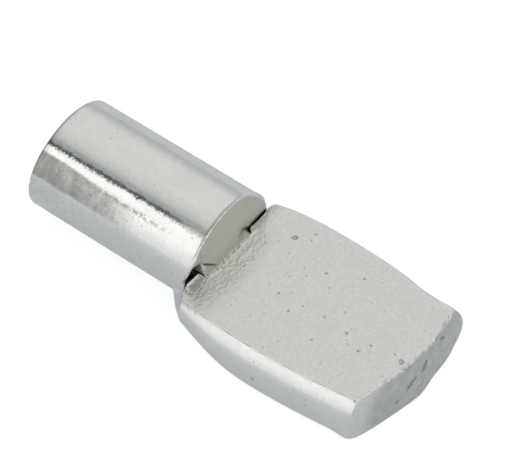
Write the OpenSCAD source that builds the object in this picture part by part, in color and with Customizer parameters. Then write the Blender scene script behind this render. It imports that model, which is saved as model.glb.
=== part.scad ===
// Spoon-shaped shelf support pin, made in one piece from round wire.
// The origin is where the pin's axis meets the face of the cabinet's panel. The pin runs
// along -X into the panel, and the spoon runs out along +X with its flat seat facing up.

/* [Pin] */
// Diameter of the pin, a close sliding fit in a 5 mm hole
pin_d = 4.95; // [4.5:0.05:6]
// Length of the pin from the panel's face to its free end
pin_l = 7.7; // [5:0.1:14]
// Rounding of the edge at the pin's free end
pin_edge_r = 0.32; // [0.1:0.02:0.8]
// How far the pin's surface has flared out at the shoulder
flare = 0.05; // [0.01:0.01:0.15]
// Length of that flare, back from the shoulder
flare_l = 0.6; // [0.5:0.05:1.5]

/* [Seat] */
// Length from the panel's face to the crown of the free edge
seat_l = 9.36; // [7.5:0.02:14]
// Width of the flat seat at its widest place
seat_w = 6.5; // [6.2:0.05:9]
// Distance from the panel's face to that widest place
widest_x = 3.8; // [2.5:0.1:5]
// Height of the seat above the pin's axis
seat_z = 0; // [-0.3:0.05:0.5]
// Radius of the two long sides, seen from above
side_r = 34; // [20:1:60]
// Radius of the free edge, seen from above
end_r = 10.7; // [8:0.1:20]
// Sideways place of the crown of the free edge, which the cropping left off centre
crown_y = 1.2; // [-1.5:0.1:1.5]

/* [Upset edges] */
// Depth below the seat at which the edges are fullest
full_z = 1.3; // [0.9:0.05:1.6]
// How far the long sides stand out past the seat at that depth
side_bulge = 0.48; // [0.2:0.02:0.8]
// How far the free end stands out past the seat at that depth
end_bulge = 0.28; // [0.1:0.02:0.5]
// How far the two back corners stand out past the seat at that depth, as far as the panel
back_bulge = 0.5; // [0.2:0.05:0.6]
// Rounding of the lower edge all round
under_r = 0.4; // [0.2:0.05:0.6]
// How far the remaining round of the wire stands below the flat underside
keel_h = 0.05; // [0.02:0.01:0.15]
// Radius of that flattened round
keel_r = 4; // [3:0.1:5]

/* [Root] */
// Gap between the shoulder and the back edge of the seat, on each side of the root
neck_gap = 0.08; // [0.04:0.02:0.2]
// Width over which the seat is joined to the shoulder
root_w = 3.9; // [2:0.1:4.2]
// Radius in the corner between the shoulder and the ramp
root_r = 0.22; // [0.1:0.02:0.4]
// Length of the shallow ramp that leads from the shoulder down to the seat
ramp_l = 0.9; // [0.6:0.05:1.6]
// Radius of the ramp's hollow, seen from the side
ramp_r = 3; // [2:0.1:8]
// Angle at which the ramp runs out into the seat, in degrees
ramp_angle = 3; // [1:0.5:6]
// Width of the straight back edge between the two back corners
back_w = 5.6; // [4.6:0.1:6]
// Radius of the back corners, seen from above
corner_r = 3.7; // [3.4:0.1:5]
// How far the swelling wire stands out past the pin at the panel's face
swell_step = 0.8; // [0.6:0.05:1.2]
// Distance over which the wire swells out to the full section
swell_l = 4.4; // [2.5:0.1:6]

/* [Hidden] */
$fn = 96;

pin_r = pin_d / 2;
thick = pin_r + seat_z;
past_end = seat_l + end_bulge + 1;
shoulder_x = back_bulge - neck_gap;
corner_x = back_bulge + sqrt(corner_r * corner_r - back_w * back_w / 4);
swell_r = norm([seat_w / 2 + side_bulge, pin_r]);

// Radius of an arc that bulges out by a given amount at the depth full_z
function bulge_r(bulge) = (bulge * bulge + full_z * full_z) / (2 * bulge);

// Half section of an upset edge: its seat ends at x = edge, and y = 0 is the seat's level.
// The rounding of the lower edge crosses both of its faces at a small angle.
module edge_profile(edge, bulge, foot_r = under_r) {
    r = bulge_r(bulge);
    hub = [edge + bulge - r, -full_z];
    inset = 0.97 * foot_r;
    foot_y = inset - thick;
    foot_x = hub[0] + sqrt(pow(r - inset, 2) - pow(foot_y - hub[1], 2));
    foot = [foot_x, foot_y];
    beyond = hub + (foot - hub) * 2;
    translate([0, -thick])
        square([hub[0], thick]);
    difference() {
        intersection() {
            translate(hub)
                circle(r);
            translate([hub[0] / 2, -thick])
                square([edge, thick]);
        }
        difference() {
            polygon([foot, beyond, [beyond[0], -2 * thick], [foot_x, -2 * thick]]);
            translate(foot)
                circle(foot_r);
        }
    }
}

// Round plate with an upset rim, whose top face is level with the seat
module rim_plate(edge, bulge) {
    translate([0, 0, seat_z])
        rotate_extrude()
            edge_profile(edge, bulge);
}

// All that lies short of the free edge
module end_plate() {
    translate([seat_l - end_r, crown_y, 0])
        rim_plate(end_r, end_bulge);
}

// All that lies inside the long side on +Y
module side_plate() {
    translate([widest_x, seat_w / 2 - side_r, 0])
        rim_plate(side_r, side_bulge);
}

// All that lies in front of the straight back edge
module back_plate() {
    translate([past_end, 0, seat_z])
        rotate([90, 0, 180])
            linear_extrude(4 * seat_w, center = true)
                edge_profile(past_end - back_bulge, back_bulge, neck_gap);
}

// All that lies inside the two back corners
module corner_plate() {
    translate([corner_x, 0, 0])
        rim_plate(corner_r, back_bulge);
    translate([corner_x, -2 * seat_w, -pin_r])
        cube([past_end, 4 * seat_w, thick]);
}

// Envelope in which the round wire swells out to the full section
module swell() {
    rotate([0, 90, 0]) {
        cylinder(r1 = pin_r + swell_step, r2 = swell_r, h = swell_l);
        translate([0, 0, swell_l])
            cylinder(r = swell_r, h = past_end);
    }
}

// The metal that the upsetting spread out on both sides of the wire
module spread() {
    intersection() {
        end_plate();
        side_plate();
        mirror([0, 1, 0])
            side_plate();
        back_plate();
        corner_plate();
        swell();
        translate([-pin_l, -2 * seat_w, keel_h - pin_r])
            cube([2 * (pin_l + past_end), 4 * seat_w, thick]);
    }
}

// The pin as far as the shoulder, with its free end rounded off
module pin() {
    wire_l = pin_l + shoulder_x;
    translate([shoulder_x, 0, 0])
        rotate([0, -90, 0])
            rotate_extrude() {
                polygon([[0, 0], [pin_r + flare, 0], [pin_r, flare_l], [0, flare_l]]);
                translate([0, flare_l])
                    square([pin_r, wire_l - pin_edge_r - flare_l]);
                square([pin_r - pin_edge_r, wire_l]);
                translate([pin_r - pin_edge_r, wire_l - pin_edge_r])
                    circle(pin_edge_r);
            }
}

// What is left of the wire's round along the middle of the underside
module keel() {
    intersection() {
        translate([shoulder_x, 0, keel_r - pin_r])
            rotate([0, 90, 0])
                cylinder(r = keel_r, h = past_end);
        translate([seat_l - end_r, crown_y, -pin_d])
            cylinder(r = end_r - under_r, h = pin_d - full_z);
    }
}

// The hollow ramp and the corner radius that join the seat to the shoulder
module root() {
    hub = [ramp_l + ramp_r * sin(ramp_angle), ramp_r * cos(ramp_angle)];
    corner_z = hub[1] - sqrt(pow(ramp_r - root_r, 2) - pow(hub[0] - root_r, 2));
    corner = [root_r, corner_z];
    beyond = corner + (corner - hub);
    translate([shoulder_x, 0, seat_z])
        rotate([90, 0, 0])
            linear_extrude(root_w, center = true)
                difference() {
                    translate([-root_r, -full_z / 2])
                        square([ramp_l + root_r, full_z / 2 + corner_z]);
                    translate(corner)
                        circle(root_r);
                    intersection() {
                        translate(hub)
                            circle(ramp_r);
                        polygon([corner, beyond, [past_end, beyond[1]], [past_end, corner_z]]);
                    }
                }
}

module shelf_pin() {
    color([0.80, 0.80, 0.78]) {
        pin();
        keel();
        spread();
        root();
    }
}

shelf_pin();
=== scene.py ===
"""A nickel-plated shelf support pin: the looks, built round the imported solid.

The whole pin is one closed skin, because the real one is one piece of upset wire. Columns stand
round the wire and rows follow it, from the pole of the pin's free end to the pole of the spoon's
free end. A column's angle t is measured from +Z towards -Y, which is the near side. Lengths are in
millimetres until the mesh is made, and then in metres. A pair of values is for the near side and
for the far side.
"""
import math
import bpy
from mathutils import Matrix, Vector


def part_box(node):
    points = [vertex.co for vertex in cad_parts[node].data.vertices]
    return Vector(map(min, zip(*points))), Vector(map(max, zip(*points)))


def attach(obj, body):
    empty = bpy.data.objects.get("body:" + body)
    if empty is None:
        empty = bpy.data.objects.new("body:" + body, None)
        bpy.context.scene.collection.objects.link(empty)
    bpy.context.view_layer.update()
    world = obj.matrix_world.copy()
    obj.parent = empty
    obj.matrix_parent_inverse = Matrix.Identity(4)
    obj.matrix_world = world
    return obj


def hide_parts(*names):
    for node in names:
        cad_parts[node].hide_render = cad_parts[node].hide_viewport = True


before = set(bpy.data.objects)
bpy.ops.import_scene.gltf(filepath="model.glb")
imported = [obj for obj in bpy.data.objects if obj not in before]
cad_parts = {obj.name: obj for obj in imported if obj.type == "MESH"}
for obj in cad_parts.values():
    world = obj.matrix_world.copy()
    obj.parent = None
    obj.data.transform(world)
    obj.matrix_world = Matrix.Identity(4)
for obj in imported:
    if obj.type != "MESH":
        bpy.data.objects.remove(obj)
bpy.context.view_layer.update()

from types import SimpleNamespace

import bpy
import numpy as np
from mathutils import Vector

LOW, HIGH = (np.array(corner) * 1000 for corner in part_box("shelf_pin"))

# Sizes that follow the solid
PIN_END_X = LOW[0] - 0.095         # middle of the pin's slightly domed free end
SEAT_END_X = HIGH[0] - 0.28        # crown of the seat's free edge, without the bulge
HALF_WIDE = HIGH[1] - 0.48         # half the seat's width at its widest, without the bulge
PIN_R = HIGH[2] - 0.05             # radius of the pin, without its flare
UNDER_Z = LOW[2] + 0.05            # flat underside
SHOULDER_X = 0.42                  # plane of the shoulder's crescent

# Free end of the pin
END_SLANT_Z = 0.095                # the cropped face leans, its lower edge standing out
END_SLANT_Y = 0.018
END_DOME = 0.06                    # how far its middle stands out
END_EDGE_R = 0.15

# Wall of the pin, beside the shoulder
FLARE = 0.035
FLARED_R = PIN_R + 0.045           # radius at which the columns meet the fin
RIM_L = 0.16                       # stretch behind the shoulder where the rows stand close together
RIM_ROWS = 9

# Outline of the seat
WIDEST_X = (3.1, 4.0)
SIDE_OUT = (-0.04, 0.03)           # how far a side stands out past the plain half width
SIDE_CURVE = (0.0140, 0.0155)      # how fast a side draws in, away from its widest place
CORNER_IN = (0.06, 0.17)           # how far the back corners are drawn in
CORNER_X = (0.53, 0.62)            # where the back corners end
BACK_HALF = (2.44, 2.52)           # half the width of the nearly straight back edge
BACK_BOW = (1.7, 1.0)              # power of the curve round a back corner
STRAIGHT = 0.84                    # share of a quarter turn that the straight back edge takes
CROWN_Y = 1.2                      # sideways place of the free edge's crown
END_CURVE = 0.0469                 # how fast the free edge falls back, away from its crown

# Upset rim and underside of the spoon
FULL_Z = 1.3                       # depth at which the edges are fullest
SIDE_BULGE, END_BULGE = 0.52, 0.28
END_BELLY = 0.16                   # how far the middle of the free end stands out low down
TOP_LIP_R = 0.03                   # rounding of the free edge at the seat and at the underside
UNDER_R = 0.28
KEEL = 0.012                       # share by which the keel stands below the flat underside
SWELL_STEP = 0.66                  # how far the wire stands out past the pin where it starts to swell,
SWELL_FULL = 2.0                   # and where it ends
SWELL_L = 3.6
BACK_X = (-0.02, 0.02)             # rearmost place of the two back lobes
LOBE_SLOPE = 0.53                  # how far the near back lobe slopes back below its shoulder
FACE_POLE = np.array([0.1, -1.25])  # y and z of the pole of the spoon's free end

# Root
ROOT_NEAR, ROOT_FAR = -1.63, 1.28  # stretch over which the seat is joined to the shoulder
FIN_TOP = -1.75                    # where the fin beside the near hollow starts, high on the crescent
FIN_H = 1.73                       # height over which the fin's ridge leans from its foot to that place
ROOT_RISE = 0.60                   # height at which the crescent starts to lean out to the seat
RAMP_L, RAMP_H = 1.1, 0.045        # hollow ramp from the shoulder down to the seat
TICK_OUT = 0.31                    # how far the torn fillet reaches out on to the seat
HOLLOW_BACK = 0.30                 # how far the near hollow is undercut behind the seat's back edge
GAP_DEEP = 0.28
GAP_FAR = 0.02                     # width of the far gap at the seat's level
BURR = 0.10                        # how far the seat's edge is turned up beside the near hollow

BURR_L = 0.07                      # how fast that burr falls to the seat
HOLLOW_X, HOLLOW_Y = 0.26, 1.74    # where the seat's back edge starts beside the near hollow

# Columns and rows of the skin
COLUMNS = 360
DRAWN_IN, DRAWN_DEGREES = 0.78, 4.5  # how strongly the columns are drawn to the fin, and how far from it
SPREAD_X = (0.7, 2.3)              # where the columns spread from the back edge to even shares
EVEN_ROWS, ROW_POWER = 0.34, 2.6   # share of even steps along the spoon, and power of the others
END_LINE_X = (9.0, 9.1)            # where the outline is measured for the last row of the spoon
ROWS = {"cap": 11, "rim": 6, "wall": 46, "neck": 68, "spoon": 126, "lip": 5, "face": 14}


def smooth(x, start, end):
    """0 before start, 1 after end, and 3u^2 - 2u^3 between them."""
    u = np.clip((x - start) / (end - start), 0, 1)
    return u * u * (3 - 2 * u)


def turned(angle, start, end):
    """The same step, between two angles given in degrees."""
    return smooth(angle, math.radians(start), math.radians(end))


def between(x, start, full, fading, end):
    """0 outside start and end, 1 from full to fading, with a smooth step at each side."""
    return smooth(x, start, full) * (1 - smooth(x, fading, end))


def bell(x, middle, wide):
    """Bell curve: e^-u^2, where u is the distance from the middle in widths."""
    return np.exp(-((x - middle) / wide) ** 2)


def by_side(side, near, far):
    """The near value where side is -1, and the far value where it is 1."""
    return np.where(side < 0, near, far)


def smallest(crisp, *lengths):
    """The smallest of some lengths, with a rounded change-over: (sum of length^-crisp)^(-1/crisp)."""
    return sum(np.maximum(n, 1e-6) ** -crisp for n in lengths) ** (-1 / crisp)


def grain(x, y, z, seed):
    """Smooth noise from -1 to 1 with one bump per unit: random heights on a cubic lattice, joined
    by the curve 3u^2 - 2u^3 along each axis."""
    table = np.random.RandomState(seed).uniform(-1, 1, (32, 32, 32))
    x, y, z = np.broadcast_arrays(x, y, z)
    whole = [np.floor(c).astype(int) for c in (x, y, z)]
    part = [c - w for c, w in zip((x, y, z), whole)]
    part = [p * p * (3 - 2 * p) for p in part]
    total = 0
    for corner in range(8):
        near = [(corner >> axis) & 1 for axis in range(3)]
        weight = 1
        for p, n in zip(part, near):
            weight = weight * (p if n else 1 - p)
        at = [(w + n) % 32 for w, n in zip(whole, near)]
        total = total + weight * table[at[0], at[1], at[2]]
    return total


def broken(x, seed):
    """Broken weight from 0 to 1 along one length: noise with its middle stretched."""
    return smooth(grain(x, 0.4, 0.6, seed), -0.35, 0.25)


def column_angles():
    """Angles of the columns from -pi to pi. They are spread evenly, and then drawn towards the fin
    within a bell curve, so that they stand closer together there."""
    t = np.arange(COLUMNS) * 2 * np.pi / COLUMNS
    t = np.where(t > np.pi, t - 2 * np.pi, t)
    from_fin = t - math.asin(-FIN_TOP / FLARED_R)
    return t - DRAWN_IN * from_fin * bell(from_fin, 0, math.radians(DRAWN_DEGREES))


T = column_angles()
SIN_T, COS_T = np.sin(T), np.cos(T)
OFF_TOP = np.abs(T)                # angle away from the top
SIDE = np.where(T > 0, -1, 1)      # -1 on the near side, 1 on the far side
UPPER = OFF_TOP <= np.pi / 2 + 1e-9
SHARE = OFF_TOP / (np.pi / 2)      # 0 at the top, 1 where the seat meets the long side


def row_steps(rows, end=1.0):
    """Even steps from 0 to end, one for each row, without the first."""
    return np.linspace(0, end, rows + 1)[1:, None]


def wrapped(x, radius):
    """Points at x and at a distance from the axis, in the direction of each column:
    (x, -r sin t, r cos t)."""
    return np.stack(np.broadcast_arrays(x, -radius * SIN_T, radius * COS_T), -1)


def half_width(x, side):
    """Half width of the flat seat at x: a shallow parabola about its widest place, pulled in
    towards the back corner by a dying exponential. The far side has a shallow bell-shaped dip and
    turns out a little at the free end."""
    plain = HALF_WIDE + by_side(side, *SIDE_OUT)
    plain = plain - by_side(side, *SIDE_CURVE) * (x - by_side(side, *WIDEST_X)) ** 2
    far_wave = 0.09 * smooth(x, 8.2, 9.0) - 0.08 * bell(x, 7.5, 0.8) - 0.01
    corner = by_side(side, *CORNER_IN) * np.exp(-(x - 0.6) / 0.55)
    return plain + by_side(side, 0, far_wave) - corner


def end_face_x(y, z):
    """The cropped free end: a parabola seen from above, off centre, with a chipped far corner. It
    bulges between the seat and the underside as half a sine, and low down it has a bell-shaped
    belly between two low steps."""
    arc = SEAT_END_X - END_CURVE * (y - CROWN_Y) ** 2 - 0.04 * smooth(y, 2.4, 3.0)
    deep = np.clip(-z / (2 * FULL_Z), 0, 1)
    bulge = END_BULGE * np.sin(np.pi * deep) ** 0.8 * (1 - 0.1 * smooth(y, 2.2, 3.1))
    belly = END_BELLY * bell(y, 0.15, 0.8)
    belly = belly + 0.05 * (1 - smooth(y, -1.0, 0.0)) + 0.02 * smooth(y, 1.2, 2.2)
    return arc + bulge + belly * smooth(-z, 0.9, 2.3)


def side_radius(x, t, side):
    """Distance from the axis to the barrel-shaped side, in the direction t. The side stands out
    past the seat by a parabola 1 - u^2 down to its fullest depth and by a superellipse
    (1 - u^n)^(1/n) below it. The depth depends on the distance itself, so the distance is found in
    ten steps, each half way to the next estimate."""
    across = np.maximum(np.abs(np.sin(t)), 0.03)
    down = np.maximum(-np.cos(t), 0)
    width = half_width(x, side)
    radius = width / across
    power = by_side(side, 1.5 + 1.3 * smooth(x, 7.6, 9.3), 2.3)
    for _ in range(10):
        u = (np.clip(radius * down, 0, 2 * FULL_Z - 0.02) - FULL_Z) / FULL_Z
        above = 1 - u ** 2
        below = np.clip(1 - np.abs(u) ** power, 0, 1) ** (1 / power)
        out = SIDE_BULGE * np.where(u < 0, above, below)
        radius = 0.5 * radius + 0.5 * (width + out) / across
    return radius


def under_radius(x, t, side):
    """Distance from the axis to the lower outline of the spoon: the softened smallest of the
    barrel side, the round of the swelling wire and the flat underside with its low keel."""
    down = np.maximum(-np.cos(t), 1e-3)
    grown = smooth(x, -1.2, SWELL_L + 1.2) ** 0.9
    swell = PIN_R + SWELL_STEP + (SWELL_FULL - SWELL_STEP) * grown
    keel = 1 + KEEL * bell(np.abs(t), np.pi, 0.35)
    return smallest(26, side_radius(x, t, side), swell * np.ones_like(t), -UNDER_Z / down * keel)


def seat_height(x, y):
    """Ramp from the shoulder down to the seat: a hollow parabola that runs out at its foot."""
    along = np.clip((x - SHOULDER_X) / RAMP_L, 0, 1)
    joined = between(y, ROOT_NEAR - 0.6, ROOT_NEAR + 0.5, ROOT_FAR - 0.5, ROOT_FAR + 0.6)
    return RAMP_H * (1 - along) ** 2 * joined


def tick_x(y):
    """Where the torn fillet ends on the seat: a nearly straight line that turns back at the fin."""
    return SHOULDER_X + TICK_OUT - 0.12 * smooth(-y, 1.1, 1.8)


def fin_ridge_y(z):
    """Sideways place of the fin's ridge, which leans from its foot to its top on the crescent."""
    return ROOT_NEAR + (FIN_TOP - ROOT_NEAR) * np.clip(z / FIN_H, 0, 1)


def hollow_back_x(y):
    """Back edge of the seat beside the near hollow: a line that runs back towards the corner."""
    return HOLLOW_X - 0.10 * (np.abs(y) - HOLLOW_Y)


def face_foot_z(y):
    """Height at which the crescent turns under into the near hollow, higher towards the side."""
    return 0.35 + 0.35 * np.abs(y)


def crescent_x():
    """Place of the shoulder's crescent at each column: one plane, torn back on the near side."""
    torn = 0.16 * turned(OFF_TOP, 55, 80) + 0.18 * turned(OFF_TOP, 72, 90)
    return SHOULDER_X - by_side(SIDE, torn, 0)


def wall_end_x():
    """Where each column leaves the pin's wall: at the crescent, whose far rim stands out, or lower
    down at the back lobes. The near lobe slopes back below its shoulder."""
    sloping = turned(OFF_TOP, 92, 110) * (1 - turned(OFF_TOP, 119, 136))
    lobe = by_side(SIDE, *BACK_X) - by_side(SIDE, LOBE_SLOPE * sloping, 0)
    lobe = lobe + (crescent_x() - lobe) * (1 - turned(OFF_TOP, 90, 108))
    return np.where(UPPER, crescent_x() + 0.09 * turned(-T, 30, 60), lobe)


def pin_end():
    """Free end of the pin: rings that grow from the pole on a domed, slanted plane, and then a
    quarter round to the wall."""
    def end_plane(radius):
        return PIN_END_X - END_SLANT_Y * radius * SIN_T + END_SLANT_Z * radius * COS_T

    grow = row_steps(ROWS["cap"]) ** 0.8 * (PIN_R - END_EDGE_R)
    cap = wrapped(end_plane(grow) + END_DOME * (grow / PIN_R) ** 2, grow)
    turn = row_steps(ROWS["rim"], np.pi / 2)
    ring = PIN_R - END_EDGE_R + END_EDGE_R * np.sin(turn)
    rim = wrapped(end_plane(ring) + END_DOME + END_EDGE_R * (1 - np.cos(turn)), ring)
    return cap, rim


def pin_wall(start):
    """Wall of the pin, from the x of its rim to the shoulder. It flares a little at the shoulder,
    whose edge is a raised, uneven curl at the top and is rounded off by a parabola at both sides."""
    leave = wall_end_x()
    body = row_steps(ROWS["wall"] - RIM_ROWS)
    body_x = start + (leave - RIM_L - start) * body
    x = np.concatenate([body_x, leave - RIM_L + RIM_L * row_steps(RIM_ROWS)])
    flare = FLARE * smooth(x, SHOULDER_X - 0.26, SHOULDER_X + 0.02) ** 2
    far, near = turned(-T, 20, 48), turned(T, 44, 54)
    soft = (0.022 + 0.118 * far + 0.05 * near) * UPPER
    drop = soft * np.clip((x - leave + soft) / np.maximum(soft, 1e-6), 0, 1) ** 2
    uneven = 0.7 + 0.5 * grain(T * 7, 0.4, 0.4, 81) + 0.5 * grain(T * 21, 0.4, 0.4, 82)
    curl = 0.040 * (1 - far) * (1 - near) * UPPER * np.clip(uneven, 0, 2)
    curl = curl * smooth(x, leave - 0.075, leave - 0.025)
    return wrapped(x, PIN_R + flare - drop + curl)


def corner_turn():
    """How far each upper column has turned round the back corner: 0 along the straight back edge,
    and then evenly up to a right angle."""
    return np.clip((SHARE - STRAIGHT) / (1 - STRAIGHT), 0, 1) * np.pi / 2


def back_edge_y():
    """Distance of the seat's back edge from its middle at each upper column: nearly the column's
    own sine along the straight part, and a power of the sine round the corner."""
    straight = np.minimum(np.abs(SIN_T) / math.sin(STRAIGHT * math.pi / 2), 1) ** 1.1
    back_half = by_side(SIDE, *BACK_HALF)
    wide = half_width(by_side(SIDE, *CORNER_X), SIDE)
    return straight * back_half + (wide - back_half) * np.sin(corner_turn()) ** by_side(SIDE, *BACK_BOW)


def neck_stops(wall):
    """Six stops of each upper column between the pin's wall and the seat: the wall's last point,
    the foot of the crescent, three points of the root's torn fillet, of the near hollow or of the
    far gap, and the back edge of the seat. The weights hollow, gap and joined say which of the
    three a column crosses, and shut closes them towards the long sides."""
    y0, z0 = wall[:, 1], wall[:, 2]
    hollow = 1 - smooth(y0, FIN_TOP - 0.03, FIN_TOP + 0.03)
    gap = smooth(y0, ROOT_FAR - 0.20, ROOT_FAR + 0.15)
    joined = (1 - hollow) * (1 - gap)
    shut = 1 - smooth(OFF_TOP, math.radians(68), np.radians(by_side(SIDE, 84, 89)))

    # Back edge of the seat
    tick = tick_x(y0)
    turn = corner_turn()
    ragged = 0.03 * grain(y0 * 4.5, 0.3, 0.6, 71)
    gap_x = crescent_x() + (GAP_FAR + 0.02 + 0.04 * smooth(y0, ROOT_FAR, 2.2) + ragged) * shut
    back_x = tick * joined + hollow_back_x(y0) * hollow + gap_x * gap
    bow = 1 - np.clip(np.cos(turn), 0, 1) ** by_side(SIDE, *BACK_BOW)
    edge_x = back_x + (by_side(SIDE, *CORNER_X) - back_x) * bow
    edge_y = -np.sign(SIN_T) * back_edge_y()
    edge_z = seat_height(edge_x, edge_y) + BURR * hollow * shut

    # Foot of the crescent, and how it leans towards the seat and towards the fin
    near_fin = 0.5 + 0.5 * smooth(y0, FIN_TOP + 0.05, FIN_TOP + 0.6)
    rise = ROOT_RISE * (1 - 0.85 * smooth(y0, ROOT_FAR - 0.7, ROOT_FAR)) * near_fin
    foot = np.minimum(face_foot_z(y0), 0.96 * z0) * hollow
    foot = foot + np.minimum(rise * joined + 0.03 * gap, 0.9 * z0) * (1 - hollow)
    fallen = 1 - foot / np.maximum(z0, 0.05)
    half_fallen = 1 - 0.55 * foot / np.maximum(z0, 0.05)
    lean_y = (ROOT_NEAR - FIN_TOP) * bell(y0, FIN_TOP, 0.35)
    low_y = y0 + lean_y
    last_y = low_y + (0.4 - 0.25 * hollow) * (edge_y - low_y)
    lean_out = (tick - SHOULDER_X) * joined
    lean_up = 0.8 * lean_out * (1 - smooth(y0, 0.2, 1.25))
    undercut = (crescent_x() - hollow_back_x(y0) + HOLLOW_BACK) * hollow * shut

    face_x = crescent_x()
    dug = gap * shut
    sunk = hollow * shut
    return np.stack([
        wall,
        np.stack([face_x + lean_up * fallen, y0 + lean_y * fallen, foot], -1),
        np.stack([face_x + lean_up * half_fallen - undercut - 0.01 * gap, low_y,
                  0.55 * rise * joined + 0.1 * sunk - 0.06 * dug], -1),
        np.stack([face_x + 0.45 * lean_out + 0.48 * lean_up - undercut + 0.01 * gap, low_y,
                  (0.24 * rise + 0.03) * joined - 0.1 * sunk - GAP_DEEP * dug], -1),
        np.stack([back_x - 0.09 * lean_out - 0.03 * (1 - joined), last_y,
                  (0.08 * rise + 0.035) * joined - (GAP_DEEP - 0.05) * dug - 0.06 * sunk], -1),
        np.stack([edge_x, edge_y, edge_z], -1)])


def upper_neck(wall, v):
    """The upper columns walk along their stops at an even pace. The last of them turn into a plain
    chamfer, as the first lower columns are."""
    stops = neck_stops(wall)
    legs = np.linalg.norm(np.diff(stops, axis=0), axis=-1) + 1e-4
    reach = np.concatenate([np.zeros((1, COLUMNS)), np.cumsum(legs, 0)])
    reach /= reach[-1]
    neck = np.repeat(stops[:1], len(v), axis=0)
    for leg in range(len(legs)):
        u = np.clip((v - reach[leg]) / np.maximum(reach[leg + 1] - reach[leg], 1e-9), 0, 1)
        neck = neck + u[..., None] * (stops[leg + 1] - stops[leg])
    plain = stops[:1] + v[..., None] * (stops[-1:] - stops[:1])
    return plain + (neck - plain) * (1 - turned(OFF_TOP, 79, 87))[None, :, None]


def lower_neck(wall, v):
    """The lower columns step out over the back lobes: a quarter round, which is flattened to a
    chamfer beside the seat. On the near side the chamfer starts gently, as v^2."""
    corner_x = by_side(SIDE, *CORNER_X)
    round_near = 0.3 * turned(OFF_TOP, 91, 101) + 0.7 * turned(OFF_TOP, 126, 150)
    round_off = by_side(SIDE, round_near, turned(OFF_TOP, 90, 106))
    q = v * np.pi / 2
    go_x = v + (1 - np.cos(q) - v) * round_off
    eased = by_side(SIDE, np.where(v < 0.3, v * v / 0.6, v - 0.15) / 0.85, v)
    go_out = eased + (np.sin(q) - eased) * round_off
    start = np.hypot(wall[:, 1], wall[:, 2])
    x = wall[:, 0] + (corner_x - wall[:, 0]) * go_x
    return wrapped(x, start + (under_radius(corner_x, T, SIDE) - start) * go_out)


def spoon_body(first):
    """Seat, long sides and underside, from the last points of the neck to the free edge. The rows
    are closer together near the neck. Across the seat the columns change from their places on the
    back edge to even shares of the width. Also gives the rounding of the free edge."""
    s = row_steps(ROWS["spoon"])
    s = EVEN_ROWS * s + (1 - EVEN_ROWS) * s ** ROW_POWER
    end_radius = under_radius(END_LINE_X[0], T, SIDE)
    end_seat_y = -np.sign(SIN_T) * SHARE * half_width(by_side(SIDE, *END_LINE_X), SIDE)
    end_y = np.where(UPPER, end_seat_y, -end_radius * SIN_T)
    end_z = np.where(UPPER, 0, end_radius * COS_T)
    lip = TOP_LIP_R + (UNDER_R - TOP_LIP_R) * smooth(-end_z, 1.5, 2.4)
    x = first[:, 0] + (end_face_x(end_y, end_z) - lip - first[:, 0]) * s

    at_back = back_edge_y() / half_width(by_side(SIDE, *CORNER_X), SIDE)
    across = at_back + (SHARE - at_back) * smooth(x, *SPREAD_X)
    seat_y = -np.sign(SIN_T) * half_width(x, SIDE) * across
    burr = (first[:, 2] - seat_height(first[:, 0], first[:, 1])) * UPPER
    seat_z = seat_height(x, seat_y) + burr * np.exp(-(x - first[:, 0]) / BURR_L)
    seat = np.stack([x, seat_y, seat_z], -1)
    radius = under_radius(x, T * np.ones_like(x), SIDE)
    return np.where(UPPER[None, :, None], seat, wrapped(x, radius)), lip


def free_edge(rim, lip):
    """Free end of the spoon: a small quarter round from the last row of the body, wider along the
    underside, and then the cropped face in rings that shrink to its pole."""
    arm = rim[:, 1:] - FACE_POLE
    length = np.linalg.norm(arm, axis=-1)
    turn = row_steps(ROWS["lip"], np.pi / 2)
    yz = FACE_POLE + (1 - lip * (1 - np.cos(turn)) / length)[..., None] * arm
    face_x = end_face_x(yz[..., 0], yz[..., 1])
    x = rim[:, 0] + lip * np.sin(turn) + (face_x - end_face_x(rim[:, 1], rim[:, 2]))
    rounding = np.concatenate([x[..., None], yz], -1)
    shrink = (1 - lip / length) * (1 - row_steps(ROWS["face"])[:-1])
    yz = FACE_POLE + shrink[..., None] * arm
    face = np.concatenate([end_face_x(yz[..., 0], yz[..., 1])[..., None], yz], -1)
    return rounding, face


def skin():
    """All points of the skin, rows by columns by 3, its two poles, and for each point the number
    of its part, in the order of ROWS."""
    cap, rim = pin_end()
    wall = pin_wall(rim[-1, :, 0])
    v = row_steps(ROWS["neck"])
    neck = np.where(UPPER[None, :, None], upper_neck(wall[-1], v), lower_neck(wall[-1], v))
    body, lip = spoon_body(neck[-1])
    rounding, face = free_edge(body[-1], lip)
    blocks = [cap, rim, wall, neck, body, rounding, face]
    poles = np.array([[PIN_END_X, 0, 0], [end_face_x(*FACE_POLE), *FACE_POLE]])
    part = np.repeat(np.arange(len(blocks)), [len(block) for block in blocks])
    return np.concatenate(blocks), poles, part[:, None] * np.ones(COLUMNS, int)


def outward(grid):
    """Unit normals of the grid: the cross product of its two directions of travel."""
    along = np.gradient(grid, axis=0)
    across = np.roll(grid, -1, axis=1) - np.roll(grid, 1, axis=1)
    normal = np.cross(across, along)
    return normal / np.maximum(np.linalg.norm(normal, axis=-1, keepdims=True), 1e-12)


def stroke_between(x, y, start, end, wide):
    """A bell curve across the line from start to end."""
    run = np.array(end) - np.array(start)
    u = np.clip(((x - start[0]) * run[0] + (y - start[1]) * run[1]) / (run @ run), 0, 1)
    return bell(np.hypot(x - start[0] - u * run[0], y - start[1] - u * run[1]), 0, wide)


def strokes(x, y, wide, lines):
    """The strongest of some strokes, each from one place to another."""
    return np.maximum.reduce([stroke_between(x, y, start, end, wide) for start, end in lines])


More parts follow.
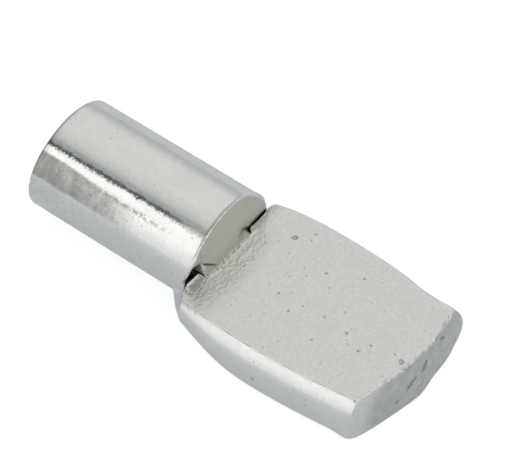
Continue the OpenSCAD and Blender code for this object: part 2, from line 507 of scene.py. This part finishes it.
# Curled burr at the near back corner and the slots in it: x and y of both ends of each stroke
CURLED_BURR = (
    ((0.08, -2.43), (0.20, -2.40)), ((0.20, -2.40), (0.37, -2.47)), ((0.24, -2.54), (0.34, -2.69)))
BURR_SLOTS = (((0.16, -2.52), (0.25, -2.64)), ((0.33, -2.56), (0.38, -2.66)))


def places_of(grid, part):
    """The skin's coordinates, its parts by name, and the places that its finish keeps coming back
    to: the seat, the crescent, the fin's ridge, and the torn web beside the hollow with the dark
    crack that runs down from the fin's top and parts the web from the crescent."""
    x, y, z = grid[..., 0], grid[..., 1], grid[..., 2]
    at = SimpleNamespace(x=x, y=y, z=z, t=T * np.ones_like(x))
    for number, name in enumerate(ROWS):
        setattr(at, name, part == number)
    at.degrees = np.degrees(at.t)
    at.upper = UPPER & np.ones_like(part, bool)
    at.seat = at.spoon & at.upper
    at.upper_neck = at.neck & at.upper
    at.crescent = at.upper_neck & (z > 0.02)
    at.past_tick = x - tick_x(y)
    at.past_ridge = y - fin_ridge_y(z)
    crack_z = 0.82 - at.past_ridge
    beside_fin = smooth(at.past_ridge, -0.04, 0.04) * (1 - smooth(y, -1.0, -0.75))
    at.crack = at.crescent * beside_fin * bell(z, crack_z + 0.03, 0.06)
    at.crack = at.crack * (1 - 0.6 * smooth(y, -1.3, -0.8))
    at.web = at.crescent * beside_fin * np.exp(-np.maximum(at.past_ridge, 0) / 0.4)
    at.web = at.web * smooth(0.85 - z, 0, 0.3) * between(z, 0.03, 0.2, crack_z - 0.06, crack_z)
    at.edge = bell(np.abs(at.t), np.pi / 2, 0.035) * (at.spoon | at.lip)
    at.end_edge = at.lip & at.upper
    at.patchy = 0.55 + 0.45 * grain(x * 0.9, y * 0.9, 3.3, 13)
    at.near_corner = at.seat * smooth(-y, 1.5, 1.8) * (1 - smooth(x, 0.55, 1.1))
    at.curl = at.seat * strokes(x, y, 0.035, CURLED_BURR)
    at.slots = at.seat * strokes(x, y, 0.03, BURR_SLOTS)
    return at


def pushed_out(at):
    """How far the sheared crescent is moved along x: fine lines drawn down its face, the torn web
    beside the fin, and the crack above the web."""
    lines = grain(at.y * 7.5, at.z * 0.7, 4.0, 31) + 0.5 * grain(at.y * 14, at.z * 1.1, 4.0, 32)
    return at.crescent * 0.003 * lines * smooth(at.z, 0.02, 0.2) + 0.05 * at.web - 0.06 * at.crack


def crumpled_ramp(at):
    """Curly ridges on the ramp: noise whose places another noise has shifted, drawn out along y,
    strongest behind the tick line and faded towards the far side."""
    shift = 0.16 * grain(at.x * 3.5, at.y * 3.5, 0.3, 5)
    curls = grain((at.x + shift) * 5.5, (at.y + shift) * 4.0, 7.7, 11)
    fine = grain(at.x * 13, at.y * 9, 1.1, 12)
    fade = between(at.past_tick, 0.02, 0.3, 0.5, 1.15) * at.patchy * (1 - 0.7 * smooth(at.y, 1.2, 2.0))
    return at.seat * fade * (0.016 * curls + 0.003 * fine)


def tick_strokes(at):
    """Short strokes across the line where the torn fillet ends, and across the near back corner."""
    drawn = 0.007 + 0.006 * grain(at.y * 11, at.x * 1.3, 2.0, 21)
    on_line = (at.seat | (at.upper_neck & (at.z < 0.12))) * between(at.y, -1.7, -1.5, 1.3, 1.6)
    corner = at.near_corner * 0.003 * grain(at.y * 8, at.x * 2.0, 2.5, 22)
    return on_line * bell(at.past_tick, 0, 0.10) * drawn + corner


def chewed_edges(at):
    """Uneven edges: a chewed spot on the near edge of the crescent, and the ragged edges of the
    seat along its long sides and its free end."""
    spot = bell(at.degrees, 51, 6) * bell(at.x, SHOULDER_X, 0.08) * (at.wall | at.crescent)
    spot = spot * 0.03 * grain(at.t * 30, at.x * 9, at.z * 3, 42)
    long_sides = at.edge * 0.016 * grain(at.x * 6, at.y * 3, 0.7, 51)
    return spot + long_sides + at.end_edge * 0.016 * grain(at.y * 7, at.x * 2, 0.2, 52)


def far_corner(at):
    """The far back corner of the seat is pressed lower behind a faint crease, which is a parabola,
    and is drawn in fine lines."""
    past_crease = at.x - 0.885 - 0.05 * (at.y - 2.5) ** 2
    lower = 0.035 * (1 - smooth(past_crease, -0.4, 0)) + 0.010 * bell(past_crease, 0, 0.03)
    lines = (1 - smooth(at.x, 0.5, 0.9)) * 0.006 * grain(at.y * 9, at.x * 1.5, 1.5, 55)
    return at.seat * smooth(at.y, 1.7, 2.3) * (lines - lower)


# Pits in the seat: x, y, radius and depth
PITS = ((2.177, 2.04, 0.10, 0.045), (8.96, -0.277, 0.09, 0.05))


def dents(at):
    """Round pits with a low raised ring, a bell curve down and a thin bell ring up at its rim, and
    the curled burr with its slots at the near back corner."""
    height = 0.05 * at.curl - 0.03 * at.slots
    for x, y, r, deep in PITS:
        d = np.hypot(at.x - x, at.y - y) / r
        height = height + at.seat * deep * (-np.exp(-(d / 0.75) ** 4) + 0.35 * bell(d, 1.15, 0.22))
    return height


def slow_waves(at):
    """Slow waves of the pressed metal."""
    seat = at.seat * 0.004 * grain(at.x * 0.7, at.y * 0.7, 0.1, 61)
    side = (at.spoon & ~at.upper) * 0.006 * grain(at.x * 1.1, at.t * 3, 0.1, 62)
    return seat + side + at.face * 0.010 * grain(at.x, at.y * 1.4, at.z * 1.4, 63)


def shade_and_stains_on(at):
    """Weight of the dark mix, which is painted shade and a few stains: painted shade in the hollow and
    the gap, in the crack and the slots, low on the crescent and on the fin's flank, small stains on the
    crescent, and a darker line along the near side of the seat."""
    foot = face_foot_z(at.y)
    # Painted shade in the undercut hollow, darker deeper down
    under = at.upper_neck & (at.y < -1.0) & (at.x < SHOULDER_X - 0.02) & (at.z < foot + 0.02)
    hollow = under * smooth(foot - at.z, -0.02, 0.15) * (1 - smooth(np.abs(at.y), 2.40, 2.50))
    hollow = hollow * (0.88 + 0.12 * smooth(-at.past_ridge, 0.03, 0.2))
    # Painted shade in the far gap
    gap = at.upper_neck & (at.y > ROOT_FAR - 0.15) & (at.z < -0.02)
    gap = gap * (1 - smooth(np.abs(at.y), 2.25, 2.45))
    stains = 0.5 * bell(at.y, 1.13, 0.10) * bell(at.z, 0.10, 0.10)
    stains = stains + 0.4 * bell(at.y, 1.67, 0.06) * bell(at.z, 1.53, 0.05)
    stains = stains + 0.25 * bell(at.y, 1.0, 0.10) * bell(at.z, 0.63, 0.04)
    # Painted shade low on the crescent, darker towards its foot
    low_face_shade = 0.16 * (1 - smooth(at.z, 0.15, 1.0)) + 0.16 * (1 - smooth(at.z, 0.05, 0.25))
    near_line = (at.spoon | at.neck) * bell(at.t, math.radians(90.5), 0.018) * smooth(at.x, 0.1, 0.4)
    near_line = near_line * 0.3 * (1 - 0.8 * smooth(at.x, 1.0, 2.0))
    # Painted shade on the fin's flank, beside its ridge
    flank_shade = at.upper_neck * bell(at.past_ridge, -0.045, 0.035) * between(at.z, -0.2, 0.05, 0.7, 0.9)
    # The crack and the slots are darkened too, as painted shade
    return np.maximum.reduce([hollow, gap, at.crescent * stains, at.crack, 0.8 * at.slots, near_line,
                              0.7 * flank_shade, (at.past_ridge > 0) * at.crescent * low_face_shade])


def painted_highlight_on(at):
    """Weight of the painted highlights, near-white and not metal: on the fin's ridge, the burr round the
    crescent, the back edge of the seat beside the hollow, the curled burr, the pin's wall below the
    bright strip, and the chewed edges of the seat."""
    ridge = at.crescent * bell(at.past_ridge, 0, 0.03) * between(at.z, 0.05, 0.15, 0.8, 0.95)
    burr = bell(at.x, SHOULDER_X, 0.05) * (at.wall | at.crescent) * (np.hypot(at.y, at.z) > PIN_R + 0.01)
    burr = burr * turned(at.t, -42, -25) * (1 - turned(at.t, 42, 50)) * broken(at.t * 14, 91)
    back_edge = at.seat * bell(at.x, hollow_back_x(at.y), 0.05) * between(-at.y, 1.68, 1.76, 2.5, 2.8)
    # Painted highlight on the pin's wall, below the bright strip
    strip = at.wall * 0.45 * bell(at.degrees, 32.5, 3.0) * smooth(at.x, -1.3, -0.2)
    end_edge = at.end_edge * broken(at.y * 9, 93) * (0.35 + 0.65 * broken(at.y * 2.3, 94))
    return np.maximum.reduce([ridge, burr, 0.8 * back_edge, 0.3 * at.near_corner, at.curl, strip,
                              at.edge * 0.8 * broken(at.x * 5, 92), end_edge])


def dull_and_shaded_on(at):
    """Weight of the dull stretches on the pin's wall, dull plate and painted dark reflection in one: a
    dark patch towards the free end, whose upper edge follows the lower edge of the bright strip's
    reflection, and a fainter one below it."""
    start = 41 + 3.0 * smooth(at.x, -6.5, -4.0)
    patch = smooth(at.degrees, start - 2, start + 2) * (1 - smooth(at.degrees, 64, 71))
    patch = patch * (1 - 0.2 * smooth(at.x, -6.2, -4.3)) * (1 - smooth(at.x, -4.3, -1.9))
    faint = 0.24 * between(at.degrees, 60, 68, 88, 112) * (1 - smooth(at.x, -6.6, -3.6))
    return (at.wall | at.rim) * np.maximum(patch, faint)


def finishes_on(at):
    """The weights that the material reads, each from 0 to 1 at every point of the skin."""
    torn = at.crescent | (at.upper_neck & (at.x > SHOULDER_X - 0.02))
    torn = torn * (1 - turned(np.abs(at.t), 73, 79))
    # The tick weight gives the dashes their relief and their painted highlight
    tick = np.minimum(1.6 * bell(at.past_tick, -0.01, 0.04), 1) * between(at.y, -1.62, -1.5, 1.35, 1.6)
    tick = np.maximum((at.seat | (at.upper_neck & (at.z < 0.2))) * tick, 0.15 * at.near_corner)
    # The ramp weight carries the ramp's curls and darkens it as painted shade
    ramp = at.seat * (1 - smooth(at.past_tick, 0.6, 1.5)) * (1 - 0.7 * smooth(at.y, 1.2, 2.0))
    streak = at.wall * bell(at.degrees, 45.5, 2.6) * between(at.x, -6.0, -4.8, -2.4, -0.6)
    stipple = at.wall * (0.12 + 0.88 * smooth(at.degrees, 27, 32)) * between(at.degrees, 5, 20, 66, 90)
    pressed = at.seat * 1.0 + at.lip * 0.5 + at.face * 1.0
    # Dull cropped end, whose dark bluish tone is also a painted reflection of the shaded floor
    cropped_and_shaded = (at.face | at.lip) * smooth(at.x, 8.9, 9.1)
    return {"torn": torn, "shade_and_stains": shade_and_stains_on(at), "tick": tick, "ramp": ramp * (0.35 + 0.65 * at.patchy),
            "dull_and_shaded": dull_and_shaded_on(at), "pressed": pressed, "painted_highlight": painted_highlight_on(at), "stipple": stipple,
            "streak": streak, "cropped_and_shaded": cropped_and_shaded}


def finished(grid, part):
    """The skin with the fine relief that pressing, shearing and plating left, as a shift of the
    crescent along x and a height along the normal, and the finish weights of its points."""
    at = places_of(grid, part)
    height = crumpled_ramp(at) + tick_strokes(at) + chewed_edges(at)
    height = height + far_corner(at) + dents(at) + slow_waves(at)
    moved = grid.copy()
    moved[..., 0] += pushed_out(at)
    return moved + outward(grid) * height[..., None], finishes_on(at)


def close_skin(grid, poles):
    """Vertices and faces of the skin: quads between rows and columns, the last column joined to
    the first, and a fan of triangles at each pole."""
    rows, columns = grid.shape[:2]
    points = np.concatenate([grid.reshape(-1, 3), poles])
    i, j = np.meshgrid(np.arange(rows - 1), np.arange(columns), indexing="ij")
    k = (j + 1) % columns
    quads = np.stack([i * columns + j, i * columns + k, (i + 1) * columns + k, (i + 1) * columns + j], -1)
    ring = np.arange(columns)
    after = (ring + 1) % columns
    first, last = rows * columns, rows * columns + 1
    head = np.stack([np.full(columns, first), after, ring], -1)
    base = (rows - 1) * columns
    tail = np.stack([np.full(columns, last), base + ring, base + after], -1)
    return points, quads.reshape(-1, 4), np.concatenate([head, tail])


def add_mesh(name, points, quads, triangles):
    """A mesh object made from whole arrays of millimetre points, quads and triangles."""
    mesh = bpy.data.meshes.new(name)
    loops = np.concatenate([quads.ravel(), triangles.ravel()]).astype(np.int32)
    totals = np.concatenate([np.full(len(quads), 4), np.full(len(triangles), 3)]).astype(np.int32)
    starts = np.concatenate([[0], np.cumsum(totals)[:-1]]).astype(np.int32)
    mesh.vertices.add(len(points))
    mesh.vertices.foreach_set("co", (points / 1000).astype(np.float32).ravel())
    mesh.loops.add(len(loops))
    mesh.loops.foreach_set("vertex_index", loops)
    mesh.polygons.add(len(totals))
    mesh.polygons.foreach_set("loop_start", starts)
    mesh.polygons.foreach_set("use_smooth", np.ones(len(totals), dtype=bool))
    mesh.update(calc_edges=True)
    mesh.validate()
    obj = bpy.data.objects.new(name, mesh)
    bpy.context.scene.collection.objects.link(obj)
    return obj


class Shading:
    """The node tree of a material or world, emptied, with short calls for the nodes that this
    scene uses. Each of them but node gives an output that the next call can take."""

    def __init__(self, block):
        block.use_nodes = True
        self.tree = block.node_tree
        self.tree.nodes.clear()

    def fill(self, socket, value):
        """Joins another node's output to a socket, or writes a plain value into it."""
        if isinstance(value, bpy.types.NodeSocket):
            self.tree.links.new(value, socket)
        else:
            socket.default_value = value

    def node(self, kind, settings=(), **inputs):
        """Adds a node, makes its settings and fills its sockets, by name or as i and a number."""
        made = self.tree.nodes.new(kind)
        for key, value in dict(settings).items():
            setattr(made, key, value)
        for key, value in inputs.items():
            numbered = key[0] == "i" and key[1:].isdigit()
            self.fill(made.inputs[int(key[1:]) if numbered else key.replace("_", " ")], value)
        return made

    def maths(self, operation, a, b=0.0, c=0.0):
        """The named operation on up to three numbers."""
        return self.node("ShaderNodeMath", {"operation": operation}, i0=a, i1=b, i2=c).outputs[0]

    def times(self, a, b):
        """The product of a and b."""
        return self.maths("MULTIPLY", a, b)

    def vector(self, operation, **inputs):
        """The named operation on vectors."""
        return self.node("ShaderNodeVectorMath", {"operation": operation}, **inputs).outputs[0]

    def mixed(self, factor, a, b):
        """Colour a where the factor is 0, and colour b where it is 1."""
        return self.node("ShaderNodeMix", {"data_type": "RGBA"}, i0=factor, i6=a, i7=b).outputs[2]

    def ranged(self, value, low, high, to_low, to_high):
        """A straight line from to_low at low to to_high at high, level beyond both."""
        made = self.node("ShaderNodeMapRange", i0=value, i1=low, i2=high, i3=to_low, i4=to_high)
        return made.outputs[0]

    def noise(self, at, scale, detail, rough, twist=0.0):
        """Cloudy noise from 0 to 1."""
        return self.node("ShaderNodeTexNoise", Vector=at, Scale=scale, Detail=detail, Roughness=rough,
                         Distortion=twist).outputs["Fac"]

    def drawn_noise(self, at, scales, detail, rough, twist=0.0):
        """Noise drawn out or pressed together along each axis by its own scale."""
        scaled = self.node("ShaderNodeMapping", Vector=at, Scale=scales).outputs[0]
        return self.noise(scaled, 1.0, detail, rough, twist)


# Single dark marks on the seat: x, y and radius
SEAT_MARKS = (
    (3.25, -0.52, 0.07), (4.17, 1.39, 0.08), (4.68, 0.88, 0.07), (6.49, -0.42, 0.09),
    (5.62, -1.51, 0.08), (5.53, 2.07, 0.07), (4.38, -0.45, 0.06), (5.35, -0.36, 0.08),
    (5.89, 0.32, 0.06), (3.61, 0.77, 0.06), (3.13, 0.40, 0.06), (4.08, -0.95, 0.07),
    (7.35, -0.85, 0.08), (7.60, -0.36, 0.08), (2.70, 2.65, 0.07), (9.19, -0.55, 0.07),
    (0.66, -1.83, 0.06), (6.64, -0.73, 0.05), (6.83, -0.83, 0.05), (8.97, -0.29, 0.05),
    (8.57, -0.13, 0.05), (8.58, -2.82, 0.10))
# The same on the near long side: x, y, z and radius
SIDE_MARKS = ((4.04, -3.19, -0.55, 0.10), (4.43, -3.70, -1.17, 0.10))
# Gouges in the cropped free end: y and z of both ends, and width
GOUGES = (
    ((0.67, -0.49), (0.29, -0.84), 0.06), ((-0.02, -0.76), (-0.58, -1.11), 0.05),
    ((1.75, -2.08), (1.21, -1.83), 0.04), ((2.69, -1.28), (2.52, -1.56), 0.05),
    ((1.09, -0.25), (1.04, -0.25), 0.08), ((-1.02, -1.38), (-1.17, -1.37), 0.06),
    ((1.90, -0.36), (1.68, -0.26), 0.04))

# Colours of the plate, with painted shade, highlights and reflections among them
PLATE = ((0.81, 0.815, 0.80, 1), (0.86, 0.86, 0.84, 1))
PEPPERED = (0.60, 0.605, 0.585, 1)
BLOTCHED = (0.68, 0.68, 0.665, 1)
# Dull cropped steel, its dark bluish tone also a painted reflection of the shaded floor
CROPPED_AND_SHADED = (0.50, 0.52, 0.52, 1)
# Rumpled ramp's tone, which also paints the shade of the ramp's tilt towards the shoulder
RUMPLED_AND_SHADED = (0.60, 0.61, 0.57, 1)
SHEARED = ((0.615, 0.612, 0.56, 1), (0.66, 0.66, 0.61, 1))
SHEAR_STAIN = (0.60, 0.595, 0.54, 1)
# Dark smears of dull plate, which also paint the dark reflection below the bright strip
WORN_AND_SHADED = ((0.22, 0.23, 0.205, 1), (0.41, 0.42, 0.39, 1))
WORN_FLECK = (0.75, 0.76, 0.73, 1)
SPECKED = (0.30, 0.30, 0.28, 1)
STREAK_DOT = (0.33, 0.36, 0.34, 1)
# Painted highlight: white dashes along the tick line
PAINTED_DASH = (1.0, 1.0, 0.98, 1)
# Painted highlight: near white
PAINTED_HIGHLIGHT = (0.97, 0.97, 0.955, 1)
MARKED = (0.20, 0.205, 0.17, 1)
# Near black: painted shade in hollows, gaps, cracks and slots, and a few stains
SHADE_AND_STAINS = (0.08, 0.075, 0.045, 1)


def dark_specks(tree, mm, swirl):
    """Specks of the plate: cells whose own random number is high hold a small spot. The places
    are bent by a swirling noise, so that the spots aren't round."""
    bent = tree.node("ShaderNodeMix", {"data_type": "VECTOR"}, i0=0.12, i4=mm, i5=swirl).outputs[1]
    spots = tree.node("ShaderNodeTexVoronoi", {"feature": "F1"}, Vector=bent, Scale=3.6)
    lucky = tree.node("ShaderNodeSeparateColor", Color=spots.outputs["Color"]).outputs[0]
    spot = tree.ranged(spots.outputs["Distance"], 0.0, 0.18, 1.0, 0.0)
    return tree.times(spot, tree.ranged(lucky, 0.36, 0.9, 0.0, 1.0))


def single_marks(tree, mm, swirl):
    """Marks that have their own places, with ragged outlines: dark spots, gouges in the cropped
    end, where the sum of the distances to both ends is little more than the gouge is long, and the
    dark rims of the pits."""
    centred = tree.vector("SUBTRACT", i0=swirl, i1=(0.5, 0.5, 0.5))
    ragged = tree.vector("MULTIPLY_ADD", i0=centred, i1=(0.2, 0.2, 0.2), i2=mm)

    def apart(*place):
        measure = tree.node("ShaderNodeVectorMath", {"operation": "DISTANCE"}, i0=ragged, i1=place)
        return measure.outputs["Value"]

    def darkest(marks, distance, wide):
        return tree.maths("MAXIMUM", marks, tree.ranged(distance, wide * 0.3, wide, 1.0, 0.0))

    marks = 0.0
    for x, y, r in SEAT_MARKS:
        marks = darkest(marks, apart(x, y, 0), r)
    for x, y, z, r in SIDE_MARKS:
        marks = darkest(marks, apart(x, y, z), r)
    for start, end, wide in GOUGES:
        ends = [(float(end_face_x(*place)), *place) for place in (start, end)]
        both = tree.maths("ADD", apart(*ends[0]), apart(*ends[1]))
        marks = darkest(marks, tree.maths("SUBTRACT", both, math.dist(*ends)), wide)
    rims = 0.0
    for x, y, r, _ in PITS:
        off_rim = tree.maths("ABSOLUTE", tree.maths("SUBTRACT", apart(x, y, 0), r - 0.01))
        rims = tree.maths("MAXIMUM", rims, tree.ranged(off_rim, 0.01, 0.04, 1.0, 0.0))
    return marks, rims


def sheared_colour(tree, mm, drawn):
    """Colour of the torn and sheared faces: drawn lines and faint stains."""
    lines = tree.mixed(tree.ranged(drawn, 0.35, 0.65, 0.0, 1.0), *SHEARED)
    stains = tree.ranged(tree.noise(mm, 3.5, 3.0, 0.65), 0.35, 0.65, 0.0, 0.45)
    return tree.mixed(stains, lines, SHEAR_STAIN)


def worn_and_shaded_colour(tree, mm):
    """Colour of the dull stretches of the pin, also a painted dark reflection: dark smears round the
    wire with pale flecks.
    """
    smears = tree.ranged(tree.drawn_noise(mm, (2.6, 0.8, 0.8), 3.0, 0.6), 0.3, 0.7, 0.0, 1.0)
    flecks = tree.ranged(tree.noise(mm, 9.0, 2.0, 0.6), 0.60, 0.80, 0.0, 0.5)
    return tree.mixed(flecks, tree.mixed(smears, *WORN_AND_SHADED), WORN_FLECK)


def nickel(weights):
    """Nickel plate over pressed steel: full metal, faintly mottled, with a fine orange peel, dark
    specks, and duller stretches where the named weights of the skin say that it is torn or worn. Other
    weights paint light and shade into the colour: painted shade in hollows, cracks and on the ramp,
    painted highlights on ridges, burrs and edges, and painted dark reflection on the pin's wall and on
    the cropped end."""
    mat = bpy.data.materials.new("nickel_plate")
    tree = Shading(mat)
    times, ranged, mixed = tree.times, tree.ranged, tree.mixed
    place = tree.node("ShaderNodeTexCoord").outputs["Object"]
    mm = tree.vector("SCALE", i0=place, Scale=1000.0)
    finish = {name: tree.node("ShaderNodeAttribute", {"attribute_name": name}).outputs["Fac"]
              for name in weights}
    swirl = tree.node("ShaderNodeTexNoise", Vector=mm, Scale=7.0, Detail=1.0).outputs["Color"]
    speck = dark_specks(tree, mm, swirl)
    marks, rims = single_marks(tree, mm, swirl)

    # Colour of the plate, from the broad mottle to the single marks, with painted shade, highlights and
    # reflections laid over it
    colour = mixed(ranged(tree.noise(mm, 1.3, 3.0, 0.6), 0.3, 0.7, 0.0, 1.0), *PLATE)
    colour = mixed(ranged(tree.noise(mm, 16.0, 2.0, 0.7), 0.54, 0.72, 0.0, 0.5), colour, PEPPERED)
    blotch = ranged(tree.noise(mm, 6.5, 4.0, 0.75), 0.35, 0.65, 0.0, 0.75)
    blotch = times(blotch, tree.maths("MULTIPLY_ADD", finish["pressed"], 0.7, 0.3))
    colour = mixed(blotch, colour, BLOTCHED)
    # Dull cropped end, partly painted reflection of the shaded floor
    cropped_and_shaded = ranged(tree.noise(mm, 2.2, 5.0, 0.75), 0.30, 0.66, 0.35, 0.95)
    colour = mixed(times(finish["cropped_and_shaded"], cropped_and_shaded), colour, CROPPED_AND_SHADED)
    # Painted shade on the rumpled ramp, darkest near the shoulder
    colour = mixed(times(finish["ramp"], 0.33), colour, RUMPLED_AND_SHADED)
    colour = mixed(times(speck, 0.75), colour, SPECKED)
    drawn = tree.drawn_noise(mm, (1.0, 6.0, 0.9), 3.0, 0.6)
    colour = mixed(finish["torn"], colour, sheared_colour(tree, mm, drawn))
    # Dull plate and painted dark reflection on the pin's wall
    uneven = tree.maths("MULTIPLY_ADD", tree.noise(mm, 6.0, 3.0, 0.7), 0.9, -0.45)
    worn_and_shaded = ranged(tree.maths("ADD", finish["dull_and_shaded"], uneven), 0.15, 0.95, 0.0, 0.9)
    colour = mixed(worn_and_shaded, colour, worn_and_shaded_colour(tree, mm))
    dots = ranged(tree.drawn_noise(mm, (11.0, 6.0, 6.0), 1.0, 0.5), 0.40, 0.50, 0.0, 0.95)
    colour = mixed(times(finish["streak"], dots), colour, STREAK_DOT)
    # Painted highlight: white dashes along the tick line of the torn fillet
    dashes = tree.drawn_noise(mm, (3.0, 11.0, 1.5), 1.0, 0.5)
    painted_dash = times(finish["tick"], ranged(dashes, 0.46, 0.54, 0.0, 1.0))
    colour = mixed(painted_dash, colour, PAINTED_DASH)
    # Painted highlights on ridges, burrs and edges
    colour = mixed(finish["painted_highlight"], colour, PAINTED_HIGHLIGHT)
    colour = mixed(times(tree.maths("MAXIMUM", marks, rims), 0.7), colour, MARKED)
    # Painted shade and stains
    colour = mixed(times(finish["shade_and_stains"], 0.97), colour, SHADE_AND_STAINS)

    # Gloss
    # Painted highlights are rough and hardly metal, so that they stay white from every side
    all_painted_highlights = tree.maths("MAXIMUM", painted_dash, finish["painted_highlight"])
    rough = ranged(tree.noise(mm, 3.0, 3.0, 0.6), 0.3, 0.7, 0.09, 0.15)
    for weight, more in ((finish["pressed"], 0.18), (finish["torn"], 0.22), (worn_and_shaded, 0.20), (speck, 0.25),
                         (all_painted_highlights, 0.25)):
        rough = tree.maths("MULTIPLY_ADD", weight, more, rough)
    metal = tree.maths("MULTIPLY_ADD", all_painted_highlights, -0.92, 1.0)

    # Relief too fine for the mesh, in millimetres: orange peel, ripples, specks, strokes and curls
    fine = times(tree.noise(mm, 9.0, 3.0, 0.65), 0.0016)
    ripples = tree.drawn_noise(mm, (8.0, 3.2, 3.2), 2.0, 0.55)
    curls = tree.drawn_noise(mm, (8.0, 6.0, 6.0), 1.0, 0.5, 0.3)
    for height, depth in ((ripples, tree.maths("MULTIPLY_ADD", finish["stipple"], 0.010, 0.001)),
                          (speck, -0.004), (marks, -0.012), (drawn, times(finish["torn"], 0.005)),
                          (dashes, times(finish["tick"], 0.02)), (curls, times(finish["ramp"], 0.038))):
        fine = tree.maths("MULTIPLY_ADD", height, depth, fine)
    bump = tree.node("ShaderNodeBump", Strength=1.0, Distance=0.001, Height=fine).outputs[0]

    shader = tree.node("ShaderNodeBsdfPrincipled", Base_Color=colour, Metallic=metal, Roughness=rough,
                       Normal=bump)
    tree.node("ShaderNodeOutputMaterial", Surface=shader.outputs[0])
    return mat


# Camera and floor, in metres
CAMERA_AT = Vector((44.386, -56.143, 95.030)) / 1000
CAMERA_TARGET = Vector((1.044, 0.990, 0.312)) / 1000
LENS = 212.85
FLOOR_HALF = 0.6
FLOOR_DROP = 0.00001               # distance that keeps the floor clear of the underside

# Light of the studio dome by its angle in degrees, from straight up towards the near side: a broad
# soft box overhead and behind, a narrow dark gap, a bright strip in front, and dim walls
DOME = (
    (-110, 0.60, 0.62, 0.64), (-89, 0.48, 0.52, 0.53), (-76, 0.58, 0.60, 0.60), (-62, 0.76, 0.76, 0.75),
    (-48, 0.78, 0.78, 0.76), (-10, 0.78, 0.78, 0.765), (8, 0.70, 0.71, 0.69), (18, 0.58, 0.60, 0.58),
    (25, 0.36, 0.39, 0.38), (29, 0.07, 0.10, 0.10), (36.0, 0.07, 0.10, 0.10), (39.5, 1.25, 1.22, 1.19),
    (68, 1.20, 1.18, 1.15), (92, 0.92, 0.92, 0.91))


def studio_world():
    """A studio dome whose light depends only on the angle about the pin's axis, as DOME says, but is
    dimmer beyond the pin's free end. The camera sees plain white."""
    world = bpy.data.worlds.new("studio")
    bpy.context.scene.world = world
    tree = Shading(world)
    way = tree.node("ShaderNodeTexCoord").outputs["Generated"]
    part = tree.node("ShaderNodeSeparateXYZ", i0=way).outputs
    angle = tree.maths("ARCTAN2", tree.times(part["Y"], -1.0), part["Z"])
    ramp = tree.node("ShaderNodeValToRGB", Fac=tree.ranged(angle, -math.pi, math.pi, 0.0, 1.0))
    elements = ramp.color_ramp.elements
    while len(elements) < len(DOME):
        elements.new(0.5)
    for element, (degrees, *colour) in zip(elements, DOME):
        element.position = (degrees + 180) / 360
        element.color = (*colour, 1)
    left = tree.ranged(part["X"], -0.80, -0.45, 0.40, 1.0)
    dimmed = tree.vector("SCALE", i0=ramp.outputs["Color"], Scale=left)
    dome = tree.node("ShaderNodeBackground", Color=dimmed, Strength=1.0)
    white = tree.node("ShaderNodeBackground", Color=(1, 1, 1, 1), Strength=1.0)
    camera_ray = tree.node("ShaderNodeLightPath").outputs["Is Camera Ray"]
    mix = tree.node("ShaderNodeMixShader", i0=camera_ray, i1=dome.outputs[0], i2=white.outputs[0])
    tree.node("ShaderNodeOutputWorld", Surface=mix.outputs[0])


def pale_floor():
    """A white floor just under the pin. It glows a little for the camera, so that the ground is white
    and the soft shadow stays. For mirrored rays it glows as a painted pool of light, brighter in front
    of the pin and dimmer at the back."""
    half = FLOOR_HALF
    z = LOW[2] / 1000 - FLOOR_DROP
    mesh = bpy.data.meshes.new("floor")
    corners = [(-half, -half, z), (half, -half, z), (half, half, z), (-half, half, z)]
    mesh.from_pydata(corners, [], [(0, 1, 2, 3)])
    floor = bpy.data.objects.new("floor", mesh)
    bpy.context.scene.collection.objects.link(floor)
    mat = bpy.data.materials.new("pale_floor")
    tree = Shading(mat)
    path = tree.node("ShaderNodeLightPath").outputs
    lit = tree.node("ShaderNodeBsdfDiffuse", Color=(0.66, 0.69, 0.725, 1))
    spot = tree.node("ShaderNodeSeparateXYZ", i0=tree.node("ShaderNodeTexCoord").outputs["Object"])
    # Painted pool of light in front of the pin, seen only in reflections
    painted_light_pool = tree.node("ShaderNodeMapRange", {"interpolation_type": "SMOOTHSTEP"}, i0=spot.outputs["Y"],
                      i1=-0.030, i2=-0.005, i3=0.42, i4=0.13)
    seen = tree.times(path["Is Camera Ray"], 0.66)
    glow = tree.maths("MULTIPLY_ADD", path["Is Glossy Ray"], painted_light_pool.outputs[0], seen)
    shine = tree.node("ShaderNodeEmission", Color=(1, 1, 1, 1), Strength=glow)
    both = tree.node("ShaderNodeAddShader", i0=lit.outputs[0], i1=shine.outputs[0])
    tree.node("ShaderNodeOutputMaterial", Surface=both.outputs[0])
    mesh.materials.append(mat)


def studio_camera():
    """A long lens that looks down at the seat from its near corner."""
    data = bpy.data.cameras.new("camera")
    data.lens = LENS
    data.sensor_width = 36
    data.clip_start = 0.01
    camera = bpy.data.objects.new("camera", data)
    bpy.context.scene.collection.objects.link(camera)
    camera.location = CAMERA_AT
    camera.rotation_euler = (CAMERA_TARGET - CAMERA_AT).to_track_quat("-Z", "Y").to_euler()
    bpy.context.scene.camera = camera


grid, poles, part = skin()
grid, finishes = finished(grid, part)
pin = add_mesh("pin_skin", *close_skin(grid, poles))
for finish, weight in finishes.items():
    layer = pin.data.attributes.new(finish, "FLOAT", "POINT")
    layer.data.foreach_set("value", np.append(weight.ravel(), [0, 0]).astype(np.float32))
pin.data.materials.append(nickel(finishes))
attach(pin, "root")
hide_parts("shelf_pin")

studio_world()
pale_floor()
studio_camera()
bpy.context.scene.view_settings.view_transform = "Standard"
